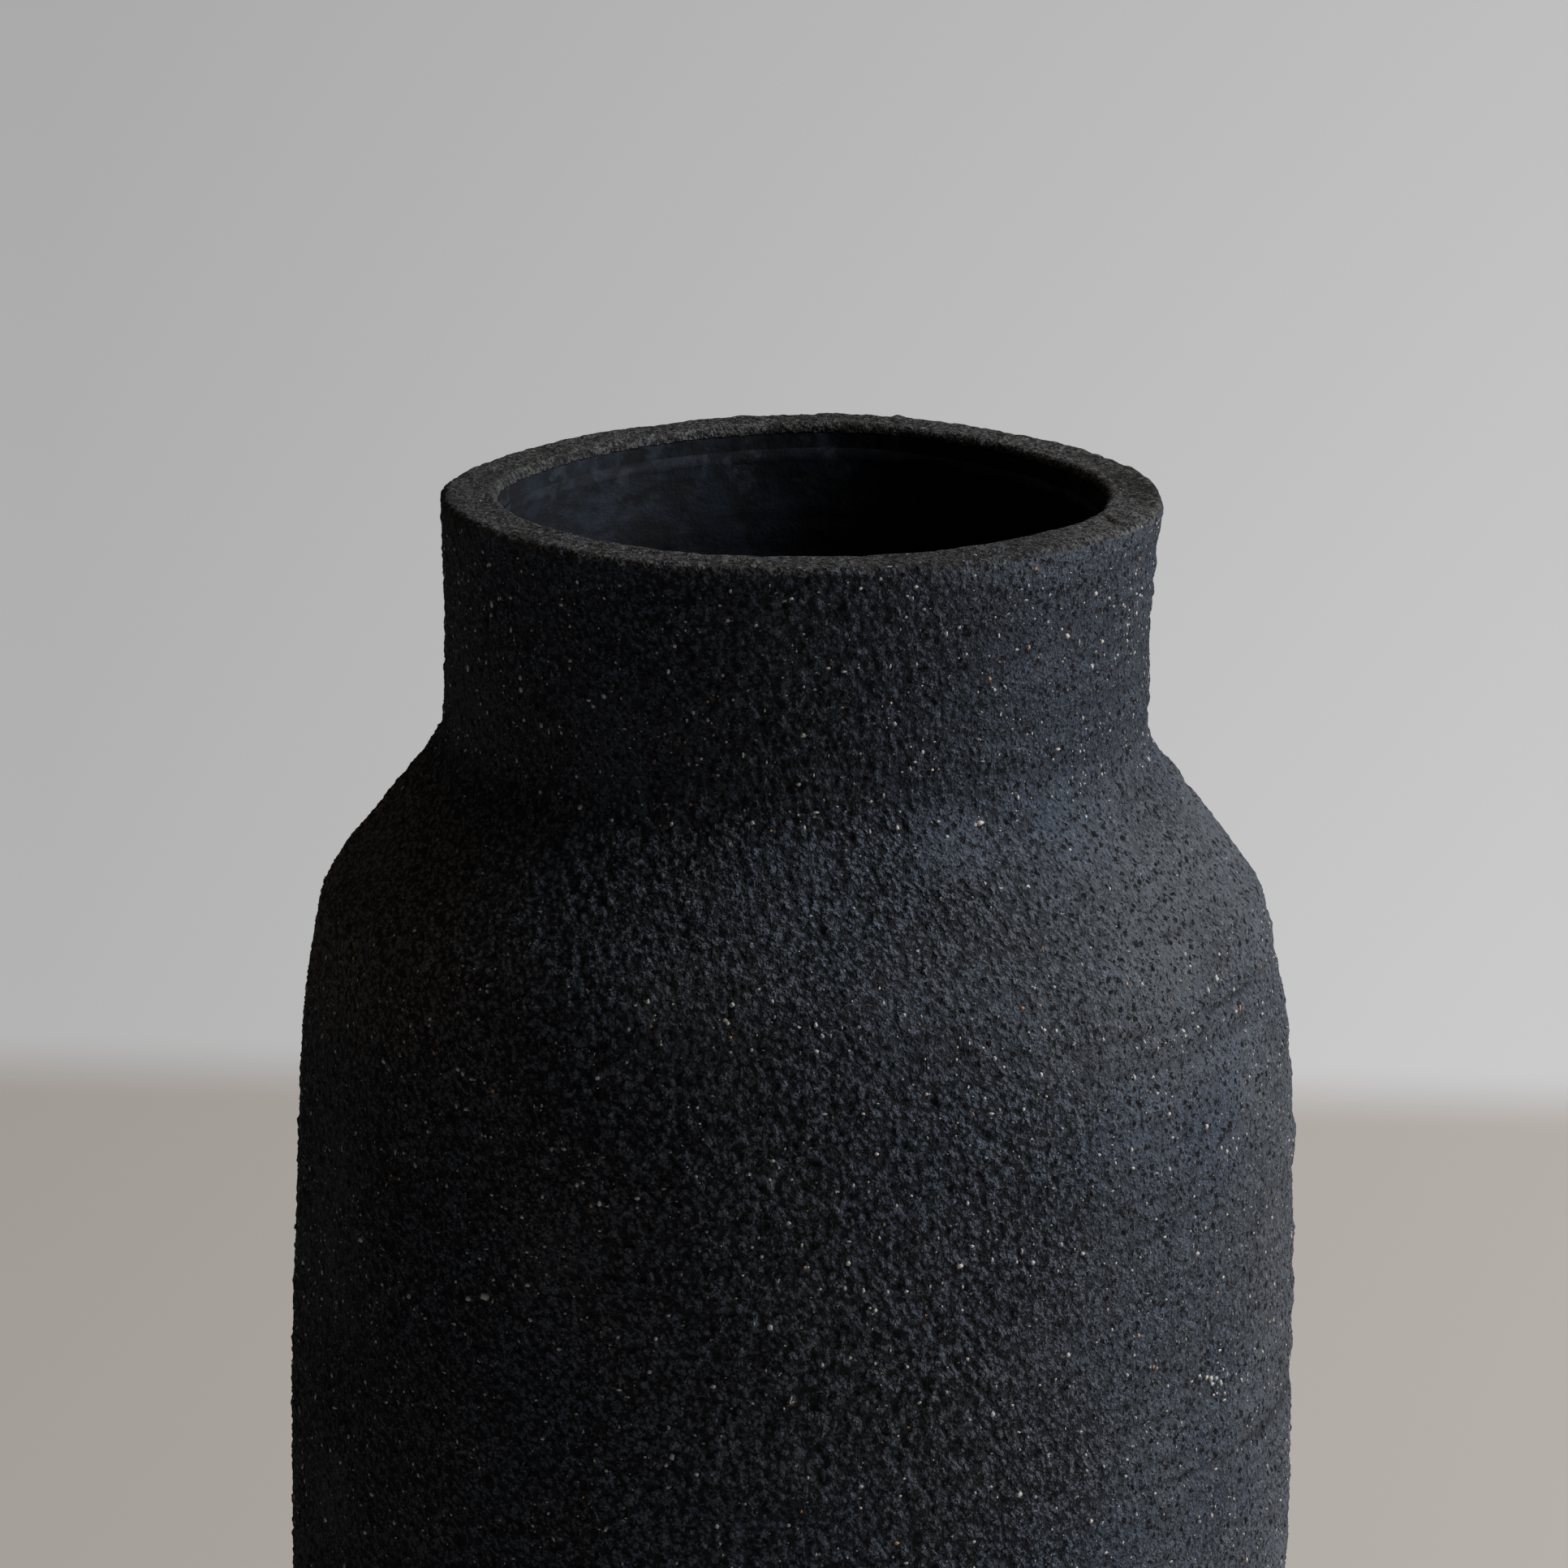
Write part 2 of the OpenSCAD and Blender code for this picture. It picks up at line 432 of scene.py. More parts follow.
def level_rings(points):
    """Level rings from the wheel, which bend a little and come and go round the wall."""
    level = points[..., 2] / 0.95 + 0.9 * noise(points / 26, 36)
    wheel = np.stack([points[..., 0] / 22, points[..., 1] / 22, level], -1)
    return 0.65 * noise(wheel, 37) + 0.35 * noise(wheel * np.array([1.6, 1.6, 0.42]), 38)


def grain_left(turns, height):
    """How much of the grain is left, from 0 to 1, where hands smoothed the sides and the neck."""
    turn = turn_between(turns, 0)
    right = 0.48 * smooth(12, 50, turn) * (1 - smooth(115, 170, turn))
    left = 0.25 * smooth(40, 75, -turn) * (1 - smooth(115, 170, -turn))
    neck = 0.35 * smooth(NECK_BASE - 3, NECK_BASE + 4, height)
    return (1 - right - left) * (1 - neck)


def clay_relief(points, azimuth):
    """The skin of the clay over its plain outline, for a grid of points (rows, columns, 3): its height,
    the part of the height that is grain rather than swell, and how open the grain is, from 0 to 1."""
    turns = np.broadcast_to(azimuth, points.shape[:-1])
    height = points[..., 2]
    wheel = wheel_share(points, turns)
    torn = noise(points / 0.55, 35) + 0.6 * noise(points / 1.1, 30)
    apart, number = nearest_grain(points / 0.80 + 0.35 * noise(points / 1.2, 39)[..., None], 40)
    grains = (1 - np.clip(apart, 0, 1.1) ** 2) * (0.35 + 1.1 * number)
    smear = bell(lengths(points - place(SMEAR_HEIGHT, SMEAR_AZIMUTH)) / SMEAR_RADIUS)
    open_grain = (1 - 0.5 * smooth(0.15, 0.6, smear)) * (0.82 + 0.26 * noise(points / 14, 41))
    calm = grain_left(turns, height)
    swell = noise(points / 8.5, 42)

    combed = 0.300 * combing(points, turns) * (1 - 0.65 * wheel)
    fine = open_grain * (combed + 0.170 * torn + 0.330 * (grains - 0.5))
    press(fine, points, azimuth, NUBS, 0.30)
    fine *= calm
    press(fine, points, azimuth, PITS, -0.30)
    rings = (0.12 + 0.88 * wheel) * 0.38 * level_rings(points)
    field = fine - 0.10 + 0.10 * swell + rings
    fine += 0.6 * rings
    for ring_height, half_width, rise, centre, spread in RINGS:
        strength = bell(turn_between(turns, centre) / spread)
        ring_at = ring_height + 0.6 * noise(points / 25, 43)
        ring = rise * strength * bell((height - ring_at) / half_width)
        field += ring
        fine += 0.5 * ring
    for lump_height, centre, radius, rise in LUMPS:
        distance = lengths(points - place(lump_height, centre))
        field += rise * bell(distance / radius) * (1 + 0.4 * swell)
    return field, fine, np.clip(open_grain * calm, 0, 1)


def rim_marks(points, azimuth):
    """The chip, the lap of the coil's ends and the torn grain along the top of the rim."""
    turns = np.broadcast_to(azimuth, points.shape[:-1])
    height = points[..., 2]
    top = smooth(RIM_TOP - 2.2, RIM_TOP - 0.4, height)
    chip = lengths(points - place(RIM_TOP, CHIP_AZIMUTH, RIM_RADIUS))
    field = -CHIP_DEPTH * bell(chip / CHIP_RADIUS)
    radius = np.hypot(points[..., 0], points[..., 1])
    from_middle = radius - RIM_RADIUS + WALL_HALF
    lap = turn_between(turns, LAP_AZIMUTH) + 1.6 * from_middle - 0.35 * from_middle ** 2
    step = smooth(-0.5, 0.5, lap) * (1 - smooth(2, 26, lap))
    opened = 1 - smooth(-0.5, 2.5, from_middle)
    field += top * (0.22 * step - 0.20 * opened * bell((lap + 0.6) / 0.8))
    torn = noise(np.stack([turns * 26, radius / 1.5, height * 0], -1), 55)
    field += top * (0.14 * layered(points / 1.2, 51) + 0.12 * torn + 0.10 * noise(points / 4.5, 54))
    return field


def ease_outline(points, out):
    """Outward shift that turns the flats of the wall's outline into one curve."""
    shift = np.interp(points[:, 1], WALL_HEIGHTS, EASED)
    shift = shift * smooth(4, 10, points[:, 1]) * (1 - smooth(RIM_TOP - 12, RIM_TOP - 6, points[:, 1]))
    return shift * (out[:, 0] > 0)


# ---- meshes

def turned(outline, columns):
    """The grid of points (rows, columns, 3) of an outline turned about the axis, and its azimuths."""
    azimuth = -math.pi + TURN * np.arange(columns) / columns
    radius, height = outline[:, :1], outline[:, 1:]
    grid = np.stack([radius * np.sin(azimuth), -radius * np.cos(azimuth), height + 0 * azimuth], -1)
    return grid, azimuth


def moved(grid, azimuth, out, amount):
    """The grid with each row's points moved along the row's own way out by an amount for each point."""
    outward = amount * out[:, :1]
    upward = amount * out[:, 1:]
    return grid + np.stack([outward * np.sin(azimuth), -outward * np.cos(azimuth), upward], -1)


def wandered(grid, azimuth):
    """The grid with the hand-made wall's wander added."""
    outward, sideways, upward = wander(grid, azimuth)
    shift = np.stack([outward * np.sin(azimuth) + sideways, -outward * np.cos(azimuth), upward], -1)
    return grid + shift


def grid_normals(grid):
    """Normals of a grid of points that goes round in its columns, from the points on either side."""
    round_way = np.roll(grid, -1, axis=1) - np.roll(grid, 1, axis=1)
    return unit(np.cross(round_way, np.gradient(grid, axis=0)))


def vertex_rows(values, closed):
    """Values of a grid in the order of its mesh's vertices: by rows, and for an open outline with the one
    vertex at each end, on the axis, last."""
    if closed:
        return values.reshape(-1, *values.shape[2:])
    rows = values[1:-1].reshape(-1, *values.shape[2:])
    return np.concatenate([rows, values[0, :1], values[-1, :1]])


def mesh_from_grid(name, grid, closed):
    """A smooth closed mesh from a grid whose columns go round. An open outline is capped at the axis."""
    rows, columns = grid.shape[:2]
    ring = np.arange(columns)
    after = (ring + 1) % columns
    strips = rows if closed else rows - 3
    lower = np.arange(strips)[:, None] * columns
    upper = (lower + columns) % (rows * columns)
    quads = np.stack([lower + ring, lower + after, upper + after, upper + ring], -1).reshape(-1, 4)
    triangles = np.zeros((0, 3), int)
    vertices = vertex_rows(grid, closed)
    if not closed:
        first, last = len(vertices) - 2, len(vertices) - 1
        end = strips * columns
        start_fan = np.stack([np.full(columns, first), after, ring], -1)
        end_fan = np.stack([end + ring, end + after, np.full(columns, last)], -1)
        triangles = np.vstack([start_fan, end_fan])
    return mesh_from_faces(name, vertices * MM, quads, triangles)


def mesh_from_faces(name, vertices, quads, triangles):
    """A smooth-shaded mesh from arrays of vertices, four-sided faces and triangles."""
    mesh = bpy.data.meshes.new(name)
    mesh.vertices.add(len(vertices))
    mesh.vertices.foreach_set("co", vertices.astype(np.float32).ravel())
    corners = np.concatenate([quads.ravel(), triangles.ravel()])
    sizes = np.concatenate([np.full(len(quads), 4), np.full(len(triangles), 3)])
    mesh.loops.add(len(corners))
    mesh.loops.foreach_set("vertex_index", corners.astype(np.int32))
    mesh.polygons.add(len(sizes))
    starts = np.concatenate([[0], np.cumsum(sizes)[:-1]])
    mesh.polygons.foreach_set("loop_start", starts.astype(np.int32))
    mesh.polygons.foreach_set("use_smooth", np.ones(len(sizes), bool))
    mesh.update(calc_edges=True)
    return mesh


def add_object(name, data):
    """Puts a mesh, a light or a camera in the scene."""
    made = bpy.data.objects.new(name, data)
    bpy.context.scene.collection.objects.link(made)
    return made


def add_piece(name, mesh, material, nodes=()):
    """Puts a mesh in the scene as a piece of the vase."""
    piece = add_object(name, mesh)
    mesh.materials.append(material)
    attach(piece, "root")
    if nodes:
        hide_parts(*nodes)
    return piece


def add_value(mesh, name, values):
    """Stores one number for each vertex, for a material to read."""
    attribute = mesh.attributes.new(name, "FLOAT", "POINT")
    attribute.data.foreach_set("value", values.astype(np.float32).ravel())


def feathered_ends(outline, rows):
    """How far each row of an outline sinks, so that the part on show dives under its neighbours."""
    sink, feather = 0.2, 1.1
    along = np.concatenate([[0], np.cumsum(lengths(np.diff(outline[rows], axis=0)))])
    sunk = np.full(len(outline), sink)
    sunk[rows] = sink * (1 - smooth(0, feather, np.minimum(along, along[-1] - along)))
    return sunk


class ClayPiece:
    """The dense grid of one clay node, with its relief."""

    def __init__(self, node):
        self.node = node
        self.outline, self.shown, self.closed = resampled(node)
        self.skin = np.nonzero(self.shown)[0]
        plain, self.azimuth = turned(self.outline, COLUMNS)
        out, near_skin = away_from_middle(self.outline)
        self.mark_rim(out, near_skin)

        self.field = np.zeros(plain.shape[:2], np.float32)
        self.fine = np.zeros(plain.shape[:2], np.float32)
        self.grain = np.full(plain.shape[:2], 0.3, np.float32)
        outside = (out[:, 0] > -0.4) & (near_skin > 0.02)
        rows = np.nonzero(outside)[0]
        self.field[rows], self.fine[rows], self.grain[rows] = clay_relief(plain[rows], self.azimuth)
        if node == "rim_coil":
            self.field *= 1 - 0.6 * self.crown[:, None]
            marks = rim_marks(plain, self.azimuth)
            self.field += marks
            self.fine += marks
        inner = np.nonzero(~outside & (near_skin > 0.02))[0]
        if len(inner):
            self.field[inner] = 0.10 * noise(plain[inner] / 2.2, 61) + 0.05 * noise(plain[inner] / 0.9, 62)
        if node == OVERLAY:
            self.field -= feathered_ends(self.outline, self.skin)[:, None]

        clear_of_floor = smooth(0, 2.5, self.outline[:, 1])
        eased = ease_outline(self.outline, out) * near_skin
        amount = self.field * near_skin[:, None] * clear_of_floor[:, None] + eased[:, None]
        self.grid = wandered(moved(plain, self.azimuth, out, amount), self.azimuth)

    def mark_rim(self, out, near_skin):
        """Finds, row by row, the bare crown of the rim, the slip's stain inside it and the lip outside it."""
        self.crown = smooth(0.45, 0.8, out[:, 1] + 0.35 * (out[:, 0] < 0)) * near_skin
        self.stain = smooth(0.70, 0.95, -out[:, 0]) * near_skin
        upper = smooth(RIM_TOP - 4.5, RIM_TOP - 2.5, self.outline[:, 1])
        self.lip = upper * (out[:, 0] > 0) * smooth(0.95, 0.7, out[:, 1])

    def store(self, mesh, name, values):
        """Stores a value for each row, or each point, of the grid, for a material to read."""
        add_value(mesh, name, vertex_rows(np.broadcast_to(values, self.field.shape), self.closed))

    def make(self):
        """Makes the piece, with the values that its material reads."""
        mesh = mesh_from_grid(self.node, self.grid, self.closed)
        self.store(mesh, "hollow", -self.fine)
        self.store(mesh, "grain", self.grain)
        if self.node == "rim_coil":
            turn = turn_between(self.azimuth, 0)
            lit_side = smooth(12, 32, turn) * (1 - smooth(90, 130, turn))
            self.store(mesh, "crown", self.crown[:, None])
            self.store(mesh, "stain", self.stain[:, None])
            # the lip's highlight is painted on the lit side only
            self.store(mesh, "lip", self.lip[:, None] * lit_side)
        slot = SLOTS.get(self.node, "black_stoneware")
        return add_piece(self.node, mesh, MATERIALS[slot], [self.node])


# ---- materials

def add(tree, kind, settings=None, **inputs):
    """Adds a shader node. Inputs are given by name, with _ for a space, or as in_0, in_1 by number."""
    made = tree.nodes.new("ShaderNode" + kind)
    for name, value in (settings or {}).items():
        setattr(made, name, value)
    for name, value in inputs.items():
        key = int(name[3:]) if name.startswith("in_") else name.replace("_", " ")
        socket = made.inputs[key]
        if isinstance(value, bpy.types.NodeSocket):
            tree.links.new(value, socket)
        else:
            socket.default_value = value
    return made


def maths(tree, operation, first, second=0.0, third=None):
    """The result of a maths node."""
    inputs = {"in_0": first, "in_1": second}
    if third is not None:
        inputs["in_2"] = third
    return add(tree, "Math", {"operation": operation}, **inputs).outputs[0]


def product(tree, first, second):
    """Two values multiplied."""
    return maths(tree, "MULTIPLY", first, second)


def larger(tree, first, second):
    """The larger of two values."""
    return maths(tree, "MAXIMUM", first, second)


def vector_maths(tree, operation, **inputs):
    """The result of a vector maths node."""
    return add(tree, "VectorMath", {"operation": operation}, **inputs).outputs[0]


def mixed(tree, factor, first, second):
    """Two colours mixed."""
    return add(tree, "Mix", {"data_type": "RGBA"}, in_0=factor, in_6=first, in_7=second).outputs[2]


def ranged(tree, value, low, high, to_low=0.0, to_high=1.0, kind="SMOOTHSTEP"):
    """A value eased from one range to another."""
    return add(
        tree, "MapRange", {"interpolation_type": kind},
        Value=value, From_Min=low, From_Max=high, To_Min=to_low, To_Max=to_high,
    ).outputs[0]


def place_in_millimetres(tree):
    """The place of a point on the surface, in millimetres."""
    place_in_metres = add(tree, "TexCoord").outputs["Object"]
    return vector_maths(tree, "SCALE", in_0=place_in_metres, Scale=1 / MM)


def noise_at(tree, where, size, detail=2.0, roughness=0.5, distortion=0.0):
    """Shader noise with features of a size in millimetres."""
    return add(
        tree, "TexNoise",
        Vector=where, Scale=1 / size, Detail=detail, Roughness=roughness, Distortion=distortion,
    ).outputs["Fac"]


def colour(r, g, b):
    """An opaque colour."""
    return (r, g, b, 1.0)


def read_value(tree, name):
    """A value stored with the mesh."""
    return add(tree, "Attribute", {"attribute_name": name}).outputs["Fac"]


def new_material(name):
    """A material with an empty node tree, and the tree."""
    material = bpy.data.materials.new(name)
    material.use_nodes = True
    material.node_tree.nodes.clear()
    return material, material.node_tree


def bumped(tree, height, distance):
    """Normals bent by a height field. The distance is the height that a value of 1 stands for."""
    return add(tree, "Bump", Strength=1.0, Distance=distance, Height=height).outputs["Normal"]


def finish_surface(tree, **inputs):
    """Ends a tree in one opaque surface."""
    shader = add(tree, "BsdfPrincipled", **inputs)
    add(tree, "OutputMaterial", Surface=shader.outputs[0])


def scattered(tree, where, apart, share, size, soft=0.0):
    """Mask of spots in a share of the Voronoi cells, which are that many millimetres apart, and a random
    number for each spot. A spot's size and the width of its soft edge are parts of the cell."""
    cells = add(tree, "TexVoronoi", Vector=where, Scale=1 / apart)
    pick = add(tree, "SeparateColor", Color=cells.outputs["Color"])
    chosen = maths(tree, "LESS_THAN", pick.outputs[0], share)
    reach = maths(tree, "MULTIPLY_ADD", pick.outputs[1], size * 0.7, size * 0.5)
    depth = maths(tree, "SUBTRACT", reach, cells.outputs["Distance"])
    spot = ranged(tree, depth, 0.0, max(soft, 0.001))
    return product(tree, chosen, spot), pick.outputs[2]


# Colours of the clay, of the tone patches left by the firing, of the painted light and shade, and of the slip
COOL = colour(0.057, 0.072, 0.098)
WARM = colour(0.062, 0.071, 0.087)
FOOT_BROWN = colour(0.052, 0.050, 0.047)
DARK = colour(0.016, 0.018, 0.022)
# pale dust with a painted highlight, laid on the raised grains
DUST_AND_HIGHLIGHT = colour(0.138, 0.160, 0.196)
# painted shade for the pits, the hollows of the relief and the gaps between grains
CREVICE_SHADE = colour(0.003, 0.003, 0.004)
PALE_SPECK = colour(0.42, 0.44, 0.46)
RUST_SPECK = colour(0.38, 0.24, 0.13)
# painted light: paler grey on the lit right of the shoulder and down the lit right edge
LIT_SIDE_GREY = colour(0.098, 0.106, 0.118)
NECK_DARK = colour(0.013, 0.018, 0.028)
# painted shade for the unlit left side
LEFT_SHADE = colour(0.010, 0.011, 0.012)
# painted warm bounce light for the left end of the shoulder
WARM_BOUNCE_LIGHT = colour(0.085, 0.073, 0.062)
# painted highlight along the lip on the lit side
LIP_HIGHLIGHT = colour(0.115, 0.135, 0.165)
CROWN_LIGHT = colour(0.080, 0.077, 0.071)
CROWN_DARK = colour(0.011, 0.010, 0.0095)
# painted shade in the crown's pores
CROWN_PORE_SHADE = colour(0.005, 0.005, 0.005)
# darker colour for a stretch of the crown at the front right
CROWN_FRONT_RIGHT_DARK = colour(0.010, 0.0095, 0.009)
SLIP_DARK = colour(0.0035, 0.0045, 0.0065)
SLIP_NAVY = colour(0.008, 0.012, 0.019)
SLIP_GREY = colour(0.0045, 0.0055, 0.0075)
SLIP_WORN = colour(0.020, 0.026, 0.035)
GROG_STAIN = colour(0.05, 0.05, 0.055)


def slip_colour(tree, where):
    """The blue-black of the slip, in soft blotches and brush strokes, and the pattern of the strokes."""
    stretched = add(tree, "Mapping", Vector=where, Scale=(0.5, 0.5, 1.2)).outputs[0]
    brush = noise_at(tree, stretched, 2.2, 4, 0.6)
    blotch = noise_at(tree, where, 8, 3, 0.6, 0.8)
    navy = mixed(tree, ranged(tree, blotch, 0.40, 0.62), SLIP_DARK, SLIP_NAVY)
    body = mixed(tree, ranged(tree, brush, 0.35, 0.60), SLIP_GREY, navy)
    high = add(tree, "SeparateXYZ", Vector=where).outputs[2]
    worn = ranged(tree, noise_at(tree, where, 4.5, 4, 0.65, 0.5), 0.50, 0.68)
    worn = product(tree, worn, ranged(tree, high, SLIP_EDGE - 10, SLIP_EDGE - 1))
    return mixed(tree, worn, body, SLIP_WORN), brush


def stirred_place(tree, where):
    """The place bent a little, so that spots in Voronoi cells don't come out round."""
    stir = add(tree, "TexNoise", Vector=where, Scale=2.2, Detail=1.0).outputs["Color"]
    stir = vector_maths(tree, "SUBTRACT", in_0=stir, in_1=(0.5, 0.5, 0.5))
    return vector_maths(tree, "MULTIPLY_ADD", in_0=stir, in_1=(0.8, 0.8, 0.8), in_2=where)


def rim_masks(tree, where):
    """Where the rim has its painted lip highlight, bare crown and inside slip, each with a ragged edge."""
    ragged = maths(tree, "MULTIPLY_ADD", noise_at(tree, where, 1.1, 3), 0.5, 0.25)
    edges = {"lip": (0.85, 1.05), "crown": (0.96, 1.06), "stain": (0.80, 0.98)}
    return [
        ranged(tree, maths(tree, "ADD", read_value(tree, name), ragged), low, high)
        for name, (low, high) in edges.items()
    ]


def crown_colour(tree, where, stirred, sideways, depth):
    """The bare, torn top of the rim: brown-grey grain and pores, with a darker stretch at the front right."""
    grainy = ranged(tree, noise_at(tree, where, 0.75, 3, 0.65), 0.43, 0.58)
    pores, _ = scattered(tree, stirred, 0.80, 0.85, 0.40, 0.12)
    top = mixed(tree, grainy, CROWN_DARK, CROWN_LIGHT)
    # painted shade in the pores of the crown
    top = mixed(tree, product(tree, pores, 0.85), top, CROWN_PORE_SHADE)
    # a darker stretch of the crown at the front right
    front_right_dark = product(tree, ranged(tree, sideways, 2, 12), ranged(tree, sideways, 38, 27))
    front_right_dark = product(tree, front_right_dark, ranged(tree, depth, -15, -25, 0.0, 0.55))
    return mixed(tree, front_right_dark, top, CROWN_FRONT_RIGHT_DARK)


def shoulder_mask(tree, high):
    """1 on the shoulder, easing to 0 below it and at the neck."""
    return product(tree, ranged(tree, high, 148, 170), ranged(tree, high, NECK_BASE, NECK_BASE - 8))


def painted_light_and_darker_neck(tree, body, sideways, high):
    """The colour with painted light on the right of the shoulder and down the right edge, and a darker neck.
    """
    # painted light on the right of the shoulder, which faces the window light
    lit_shoulder = product(tree, shoulder_mask(tree, high), ranged(tree, sideways, 15, 50, 0.0, 0.60))
    body = mixed(tree, lit_shoulder, body, LIT_SIDE_GREY)
    on_neck = ranged(tree, high, NECK_BASE - 3, NECK_BASE + 5)
    on_neck = product(tree, on_neck, ranged(tree, sideways, 12, 42, 0.48, 0.68))
    body = mixed(tree, on_neck, body, NECK_DARK)
    # painted light down the right edge of the body, where the light grazes
    below = product(tree, ranged(tree, high, 168, 150), ranged(tree, sideways, 50, 63, 0.0, 0.60))
    return mixed(tree, below, body, LIT_SIDE_GREY)


def shaded_left_side(tree, body, sideways, high):
    """Painted shade on the unlit left side, and painted warm bounce light on the left end of the shoulder."""
    on_shoulder = shoulder_mask(tree, high)
    # painted shade on the unlit left side, less of it on the shoulder
    left_shade = ranged(tree, sideways, -12.0, -56.0, 0.0, 0.60)
    left_shade = product(tree, left_shade, maths(tree, "MULTIPLY_ADD", on_shoulder, -0.7, 1.0))
    body = mixed(tree, left_shade, body, LEFT_SHADE)
    # painted warm bounce light on the left end of the shoulder
    warm_bounce = product(tree, on_shoulder, ranged(tree, sideways, -22, -50, 0.0, 0.70))
    return mixed(tree, warm_bounce, body, WARM_BOUNCE_LIGHT)


def packed_grains(tree, stirred):
    """Distance to the middle of the nearest grain, with the grains drawn out down to the right."""
    grain_size, slant = 0.62, math.radians(34)
    drawn = add(tree, "VectorRotate", {"rotation_type": "Y_AXIS"}, Vector=stirred, Angle=slant).outputs[0]
    drawn = vector_maths(tree, "MULTIPLY", in_0=drawn, in_1=(1, 1, 0.6))
    return add(tree, "TexVoronoi", Vector=drawn, Scale=1 / grain_size).outputs["Distance"]


def pit_mask(tree, stirred, grain):
    """Where pits are, wide and small ones. More of them show where the skin is calm."""
    share = ranged(tree, grain, 0.35, 0.85, 0.85, 0.50)
    wide, _ = scattered(tree, stirred, 1.05, share, 0.37, 0.08)
    small, _ = scattered(tree, stirred, 0.56, share, 0.40, 0.10)
    return larger(tree, wide, product(tree, small, 0.85))


def clay_material(name, warm, bump, rim=False):
    """Matte fired clay: cool and warm patches, painted shade in pits, pores, hollows and gaps between grains,
    pale dust and painted highlight on the high grains, and fine specks. The clay of the rim also has the
    bare crown, a painted highlight on its lip on the lit side and the slip on the inside."""
    material, tree = new_material(name)
    where = place_in_millimetres(tree)
    sideways, depth, high = add(tree, "SeparateXYZ", Vector=where).outputs
    stirred = stirred_place(tree, where)
    hollow = read_value(tree, "hollow")

    # the colour of the body, and the share of the rim that keeps the body's grain
    patches = ranged(tree, noise_at(tree, where, 24, 3, 0.55), 0.38, 0.62)
    body = mixed(tree, patches, warm, COOL)
    whole = 1.0
    if rim:
        lip, bare, slip = rim_masks(tree, where)
        # painted highlight along the lip
        body = mixed(tree, lip, body, LIP_HIGHLIGHT)
        covered = larger(tree, product(tree, bare, 0.3), product(tree, slip, 0.9))
        whole = maths(tree, "SUBTRACT", 1.0, covered)
    mottle = ranged(tree, noise_at(tree, where, 2.6, 3, 0.6), 0.40, 0.70)
    body = mixed(tree, product(tree, mottle, 0.45), body, DARK)
    body = painted_light_and_darker_neck(tree, body, sideways, high)
    if rim:
        body = mixed(tree, bare, body, crown_colour(tree, where, stirred, sideways, depth))
    body = shaded_left_side(tree, body, sideways, high)

    # grains, pits and specks
    grain = product(tree, read_value(tree, "grain"), whole)
    grit = noise_at(tree, where, 0.30, 2, 0.55, 0.3)
    coarse = noise_at(tree, where, 0.9, 3, 0.6, 0.3)
    packed = packed_grains(tree, stirred)
    # painted shade in the gaps between the packed grains
    gap_shade = product(tree, ranged(tree, packed, 0.38, 0.60), ranged(tree, grain, 0.15, 0.75))
    pits = product(tree, pit_mask(tree, stirred, grain), whole)
    # dust and painted highlight on the raised grains, paler where the relief stands high
    dust_and_highlight = product(tree, ranged(tree, hollow, 0.12, -0.16, 0.3, 1.0), ranged(tree, grit, 0.50, 0.64))
    body = mixed(tree, product(tree, dust_and_highlight, 0.6), body, DUST_AND_HIGHLIGHT)
    # painted shade: the gaps between grains, the hollows of the relief and the pits are darkened
    shade = larger(tree, product(tree, gap_shade, 0.85), product(tree, ranged(tree, hollow, 0.05, 0.28), 0.75))
    shade = larger(tree, shade, product(tree, pits, 0.96))
    body = mixed(tree, shade, body, CREVICE_SHADE)
    specks, kind = scattered(tree, stirred, 1.7, 0.60, 0.095)
    tint = mixed(tree, ranged(tree, kind, 0.80, 0.84), PALE_SPECK, RUST_SPECK)
    body = mixed(tree, product(tree, specks, whole), body, tint)
    if rim:
        body = mixed(tree, slip, body, slip_colour(tree, where)[0])

    # the height of the finest relief, in millimetres
    lumps = product(tree, product(tree, packed, -0.55 * bump), grain)
    fine_height = maths(tree, "ADD", product(tree, grit, 0.26 * bump), product(tree, coarse, 0.60 * bump))
    height = maths(tree, "MULTIPLY_ADD", fine_height, whole, lumps)
    height = maths(tree, "MULTIPLY_ADD", pits, -0.15 * bump, height)

    roughness = ranged(tree, noise_at(tree, where, 1.1, 2), 0.3, 0.7, 0.82, 0.97, "LINEAR")
    finish_surface(
        tree, Base_Color=body, Roughness=roughness, IOR=1.45, Specular_IOR_Level=0.2,
        Normal=bumped(tree, height, MM),
    )
    return material


def slip_material():
    """The thin blue-black slip brushed inside the neck, worn back to clay in blotches."""
    material, tree = new_material("slip_liner")
    where = place_in_millimetres(tree)
    body, brush = slip_colour(tree, where)
    roughness = ranged(tree, brush, 0.3, 0.7, 0.85, 0.62, "LINEAR")
    grit = noise_at(tree, where, 0.5, 3, 0.6)
    height = maths(tree, "MULTIPLY_ADD", brush, 1.5, grit)
    finish_surface(
        tree, Base_Color=body, Roughness=roughness, IOR=1.45, Specular_IOR_Level=0.12,
        Normal=bumped(tree, height, 0.10 * MM),
    )
    return material


def grog_material(name, first, second):
    """A fired grain that shows in the skin of the clay."""
    material, tree = new_material(name)
    where = place_in_millimetres(tree)
    varied = noise_at(tree, where, 1.3, 2)
    stain = ranged(tree, noise_at(tree, where, 0.25, 2), 0.55, 0.70)
    body = mixed(tree, ranged(tree, varied, 0.38, 0.62), first, second)
    body = mixed(tree, product(tree, stain, 0.6), body, GROG_STAIN)
    finish_surface(tree, Base_Color=body, Roughness=0.7, IOR=1.5, Specular_IOR_Level=0.4)
    return material


# ---- pieces

